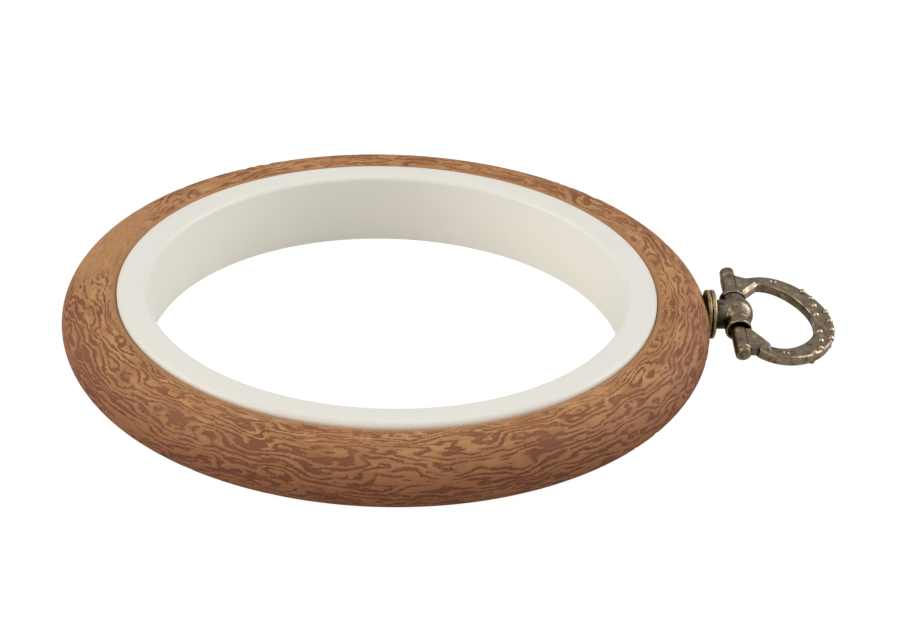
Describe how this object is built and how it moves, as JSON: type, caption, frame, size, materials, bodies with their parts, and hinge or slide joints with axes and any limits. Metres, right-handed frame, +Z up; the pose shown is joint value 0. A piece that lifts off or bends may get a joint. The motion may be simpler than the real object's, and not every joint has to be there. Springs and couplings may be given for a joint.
{
  "type": "embroidery hoop",
  "caption": "Round embroidery hoop: a rigid white inner ring inside a flexible wood-grain outer ring, with a swivelling antique-brass ring to hang it by.",
  "frame": {"origin": "on the hoop's axis, in the plane that the hoop lies on", "axes": "+Z up along the hoop's axis, +X from the axis towards the hanger"},
  "size_m": [0.1252, 0.104, 0.0121],
  "materials": {
    "white_plastic": "smooth moulded, satin",
    "wood_grain_vinyl": "moulded wood grain, tan over reddish brown, matt",
    "antique_brass": "cast, darkened and rubbed back on the high spots",
    "worn_brass": "turned, lightly tarnished",
    "plated_steel": "bright zinc plate"
  },
  "bodies": {
    "inner": {"inner_hoop": "white_plastic"},
    "outer": {"outer_hoop": "wood_grain_vinyl", "screw_washer": "plated_steel", "seat_washer": "worn_brass"},
    "eye": {"hanger_eye": "antique_brass", "hanger_screw": "plated_steel", "swivel_washer": "worn_brass"},
    "ring": {"hanger_ring": "antique_brass", "hanger_pin": "antique_brass"}
  },
  "joints": [
    {"name": "hoop_parting", "type": "slide", "parent": "inner", "child": "outer", "axis": [0, 0, 1], "range_m": [0, 0.02]},
    {"name": "eye_swivel", "type": "hinge", "parent": "outer", "child": "eye", "pos_m": [0.052, 0, 0.00643], "axis": [1, 0, 0], "continuous": true},
    {"name": "ring_swing", "type": "hinge", "parent": "eye", "child": "ring", "pos_m": [0.0567, 0, 0.00643], "axis": [0, -0.9848, -0.1736], "range_deg": [-95, 115]}
  ]
}
